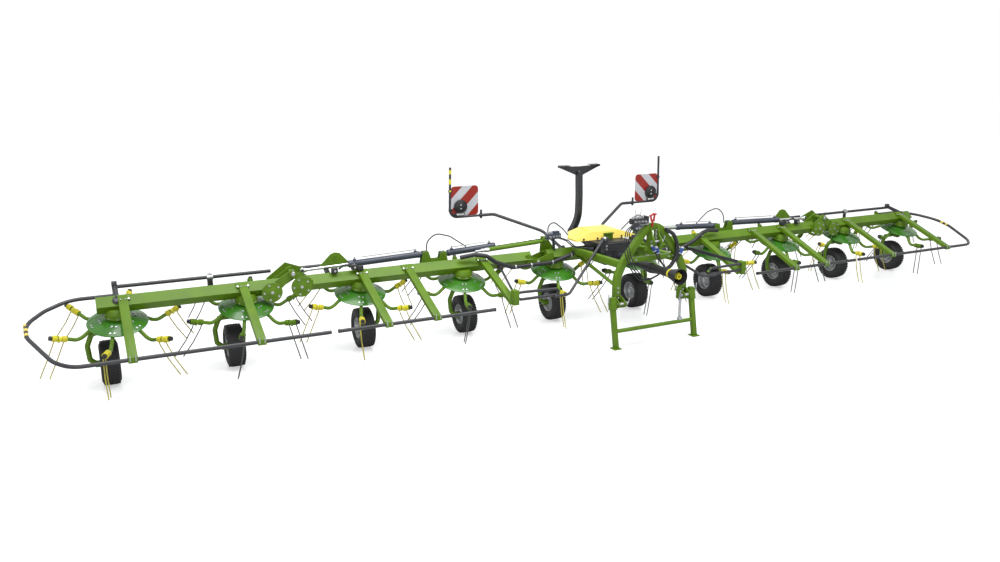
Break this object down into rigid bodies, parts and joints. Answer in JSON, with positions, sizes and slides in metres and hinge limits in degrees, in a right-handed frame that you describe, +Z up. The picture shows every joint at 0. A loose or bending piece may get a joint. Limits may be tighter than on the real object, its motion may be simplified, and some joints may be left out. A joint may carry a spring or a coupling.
{
  "type": "mounted rotary hay tedder",
  "caption": "Mounted rotary hay tedder: a folding beam with side-by-side tined rotors on small wheels, three-point headstock, front guard tubes, parking stand and warning boards.",
  "frame": {"origin": "on the floor, under the middle of the machine's outline, in its middle plane", "axes": "+X to the right as seen from the hitch side, -Y towards the hitch, +Z up"},
  "size_m": [11.5434, 2.371, 1.69],
  "materials": {
    "green_paint": "gloss enamel",
    "yellow_paint": "gloss enamel",
    "black_paint": "semi-gloss",
    "slate_paint": "semi-gloss",
    "rim_silver": "satin",
    "black_plastic": "matte",
    "tyre": "matte",
    "chrome": "polished",
    "board_sheet": "satin"
  },
  "bodies": {
    "root": {"frame_centre": "green_paint", "headstock": "green_paint", "hood": "yellow_paint", "drive_housing": "black_paint", "pto_shaft": "black_plastic", "transport_rest": "black_paint", "board_arms": "black_paint", "warning_boards": "board_sheet", "guard_centre": "black_paint"},
    "stand": {"stand": "green_paint"},
    "inner_left": {"frame_inner_left": "green_paint", "guard_inner_left": "black_paint"},
    "outer_left": {"frame_outer_left": "green_paint", "guard_outer_left": "black_paint"},
    "barrel_inner_left": {"barrel_inner_left": "slate_paint"},
    "rod_inner_left": {"rod_inner_left": "chrome"},
    "barrel_outer_left": {"barrel_outer_left": "slate_paint"},
    "rod_outer_left": {"rod_outer_left": "chrome"},
    "inner_right": {"frame_inner_right": "green_paint", "guard_inner_right": "black_paint"},
    "outer_right": {"frame_outer_right": "green_paint", "guard_outer_right": "black_paint"},
    "barrel_inner_right": {"barrel_inner_right": "slate_paint"},
    "rod_inner_right": {"rod_inner_right": "chrome"},
    "barrel_outer_right": {"barrel_outer_right": "slate_paint"},
    "rod_outer_right": {"rod_outer_right": "chrome"},
    "rotor_1": {"rotor_1": "green_paint"},
    "wheel_1": {"tyre_1": "tyre", "rim_1": "rim_silver"},
    "rotor_2": {"rotor_2": "green_paint"},
    "wheel_2": {"tyre_2": "tyre", "rim_2": "rim_silver"},
    "rotor_3": {"rotor_3": "green_paint"},
    "wheel_3": {"tyre_3": "tyre", "rim_3": "rim_silver"},
    "rotor_4": {"rotor_4": "green_paint"},
    "wheel_4": {"tyre_4": "tyre", "rim_4": "rim_silver"},
    "rotor_5": {"rotor_5": "green_paint"},
    "wheel_5": {"tyre_5": "tyre", "rim_5": "rim_silver"},
    "rotor_6": {"rotor_6": "green_paint"},
    "wheel_6": {"tyre_6": "tyre", "rim_6": "rim_silver"},
    "rotor_7": {"rotor_7": "green_paint"},
    "wheel_7": {"tyre_7": "tyre", "rim_7": "rim_silver"},
    "rotor_8": {"rotor_8": "green_paint"},
    "wheel_8": {"tyre_8": "tyre", "rim_8": "rim_silver"},
    "rotor_9": {"rotor_9": "green_paint"},
    "wheel_9": {"tyre_9": "tyre", "rim_9": "rim_silver"},
    "rotor_10": {"rotor_10": "green_paint"},
    "wheel_10": {"tyre_10": "tyre", "rim_10": "rim_silver"}
  },
  "joints": [
    {"name": "fold_inner_left", "type": "hinge", "parent": "root", "child": "inner_left", "pos_m": [-0.8, 0.39, 0.71], "axis": [0, 1, 0], "range_deg": [0, 90]},
    {"name": "fold_outer_left", "type": "hinge", "parent": "inner_left", "child": "outer_left", "pos_m": [-3.48, 0.39, 0.872], "axis": [0, 1, 0], "range_deg": [0, 180]},
    {"name": "barrel_inner_left_pivot", "type": "hinge", "parent": "inner_left", "child": "barrel_inner_left", "pos_m": [-1.85, 0.508, 0.87], "axis": [0, 1, 0], "range_deg": [0, 6]},
    {"name": "rod_inner_left_slide", "type": "slide", "parent": "barrel_inner_left", "child": "rod_inner_left", "axis": [0.9988, 0, 0.0495], "range_m": [-0.39, 0]},
    {"name": "barrel_outer_left_pivot", "type": "hinge", "parent": "inner_left", "child": "barrel_outer_left", "pos_m": [-2.05, 0.508, 0.89], "axis": [0, 1, 0], "range_deg": [0, 3]},
    {"name": "rod_outer_left_slide", "type": "slide", "parent": "barrel_outer_left", "child": "rod_outer_left", "axis": [-0.9994, 0, -0.034], "range_m": [0, 0.28]},
    {"name": "fold_inner_right", "type": "hinge", "parent": "root", "child": "inner_right", "pos_m": [0.8, 0.39, 0.71], "axis": [0, -1, 0], "range_deg": [0, 90]},
    {"name": "fold_outer_right", "type": "hinge", "parent": "inner_right", "child": "outer_right", "pos_m": [3.48, 0.39, 0.872], "axis": [0, -1, 0], "range_deg": [0, 180]},
    {"name": "barrel_inner_right_pivot", "type": "hinge", "parent": "inner_right", "child": "barrel_inner_right", "pos_m": [1.85, 0.508, 0.87], "axis": [0, -1, 0], "range_deg": [0, 6]},
    {"name": "rod_inner_right_slide", "type": "slide", "parent": "barrel_inner_right", "child": "rod_inner_right", "axis": [-0.9988, 0, 0.0495], "range_m": [-0.39, 0]},
    {"name": "barrel_outer_right_pivot", "type": "hinge", "parent": "inner_right", "child": "barrel_outer_right", "pos_m": [2.05, 0.508, 0.89], "axis": [0, -1, 0], "range_deg": [0, 3]},
    {"name": "rod_outer_right_slide", "type": "slide", "parent": "barrel_outer_right", "child": "rod_outer_right", "axis": [0.9994, 0, -0.034], "range_m": [0, 0.28]},
    {"name": "rotor_1_spin", "type": "hinge", "parent": "outer_left", "child": "rotor_1", "pos_m": [-5.04, 0.39, 0.585], "axis": [0, -0.2672, 0.9636], "continuous": true},
    {"name": "wheel_1_spin", "type": "hinge", "parent": "outer_left", "child": "wheel_1", "pos_m": [-5.14, 0.43, 0.205], "axis": [1, 0, 0], "continuous": true},
    {"name": "rotor_2_spin", "type": "hinge", "parent": "outer_left", "child": "rotor_2", "pos_m": [-3.92, 0.39, 0.585], "axis": [0, -0.2672, 0.9636], "continuous": true},
    {"name": "wheel_2_spin", "type": "hinge", "parent": "outer_left", "child": "wheel_2", "pos_m": [-4.05, 0.43, 0.205], "axis": [1, 0, 0], "continuous": true},
    {"name": "rotor_3_spin", "type": "hinge", "parent": "inner_left", "child": "rotor_3", "pos_m": [-2.8, 0.39, 0.585], "axis": [0, -0.2672, 0.9636], "continuous": true},
    {"name": "wheel_3_spin", "type": "hinge", "parent": "inner_left", "child": "wheel_3", "pos_m": [-2.77, 0.43, 0.205], "axis": [1, 0, 0], "continuous": true},
    {"name": "rotor_4_spin", "type": "hinge", "parent": "inner_left", "child": "rotor_4", "pos_m": [-1.68, 0.39, 0.585], "axis": [0, -0.2672, 0.9636], "continuous": true},
    {"name": "wheel_4_spin", "type": "hinge", "parent": "inner_left", "child": "wheel_4", "pos_m": [-1.64, 0.43, 0.205], "axis": [1, 0, 0], "continuous": true},
    {"name": "rotor_5_spin", "type": "hinge", "parent": "root", "child": "rotor_5", "pos_m": [-0.56, 0.39, 0.585], "axis": [0, -0.2672, 0.9636], "continuous": true},
    {"name": "wheel_5_spin", "type": "hinge", "parent": "root", "child": "wheel_5", "pos_m": [-0.545, 0.43, 0.205], "axis": [1, 0, 0], "continuous": true},
    {"name": "rotor_6_spin", "type": "hinge", "parent": "root", "child": "rotor_6", "pos_m": [0.56, 0.39, 0.585], "axis": [0, -0.2672, 0.9636], "continuous": true},
    {"name": "wheel_6_spin", "type": "hinge", "parent": "root", "child": "wheel_6", "pos_m": [0.575, 0.43, 0.205], "axis": [1, 0, 0], "continuous": true},
    {"name": "rotor_7_spin", "type": "hinge", "parent": "inner_right", "child": "rotor_7", "pos_m": [1.68, 0.39, 0.585], "axis": [0, -0.2672, 0.9636], "continuous": true},
    {"name": "wheel_7_spin", "type": "hinge", "parent": "inner_right", "child": "wheel_7", "pos_m": [1.7, 0.43, 0.205], "axis": [1, 0, 0], "continuous": true},
    {"name": "rotor_8_spin", "type": "hinge", "parent": "inner_right", "child": "rotor_8", "pos_m": [2.8, 0.39, 0.585], "axis": [0, -0.2672, 0.9636], "continuous": true},
    {"name": "wheel_8_spin", "type": "hinge", "parent": "inner_right", "child": "wheel_8", "pos_m": [2.835, 0.43, 0.205], "axis": [1, 0, 0], "continuous": true},
    {"name": "rotor_9_spin", "type": "hinge", "parent": "outer_right", "child": "rotor_9", "pos_m": [3.92, 0.39, 0.585], "axis": [0, -0.2672, 0.9636], "continuous": true},
    {"name": "wheel_9_spin", "type": "hinge", "parent": "outer_right", "child": "wheel_9", "pos_m": [3.86, 0.43, 0.205], "axis": [1, 0, 0], "continuous": true},
    {"name": "rotor_10_spin", "type": "hinge", "parent": "outer_right", "child": "rotor_10", "pos_m": [5.04, 0.39, 0.585], "axis": [0, -0.2672, 0.9636], "continuous": true},
    {"name": "wheel_10_spin", "type": "hinge", "parent": "outer_right", "child": "wheel_10", "pos_m": [4.955, 0.43, 0.205], "axis": [1, 0, 0], "continuous": true},
    {"name": "stand_slide", "type": "slide", "parent": "root", "child": "stand", "axis": [0, 0.1906, 0.9817], "range_m": [0, 0.19]}
  ],
  "couplings": [
    {"joint": "barrel_inner_left_pivot", "follows": "fold_inner_left", "ratio": 0.031542},
    {"joint": "rod_inner_left_slide", "follows": "fold_inner_left", "m_per_rad": -0.24286},
    {"joint": "barrel_outer_left_pivot", "follows": "fold_outer_left", "ratio": 0.012438},
    {"joint": "rod_outer_left_slide", "follows": "fold_outer_left", "m_per_rad": 0.085712},
    {"joint": "barrel_inner_right_pivot", "follows": "fold_inner_right", "ratio": 0.031542},
    {"joint": "rod_inner_right_slide", "follows": "fold_inner_right", "m_per_rad": -0.24286},
    {"joint": "barrel_outer_right_pivot", "follows": "fold_outer_right", "ratio": 0.012438},
    {"joint": "rod_outer_right_slide", "follows": "fold_outer_right", "m_per_rad": 0.085712},
    {"joint": "rotor_2_spin", "follows": "rotor_1_spin", "ratio": -1},
    {"joint": "rotor_3_spin", "follows": "rotor_1_spin", "ratio": 1},
    {"joint": "rotor_4_spin", "follows": "rotor_1_spin", "ratio": -1},
    {"joint": "rotor_5_spin", "follows": "rotor_1_spin", "ratio": 1},
    {"joint": "rotor_6_spin", "follows": "rotor_1_spin", "ratio": -1},
    {"joint": "rotor_7_spin", "follows": "rotor_1_spin", "ratio": 1},
    {"joint": "rotor_8_spin", "follows": "rotor_1_spin", "ratio": -1},
    {"joint": "rotor_9_spin", "follows": "rotor_1_spin", "ratio": 1},
    {"joint": "rotor_10_spin", "follows": "rotor_1_spin", "ratio": -1}
  ]
}
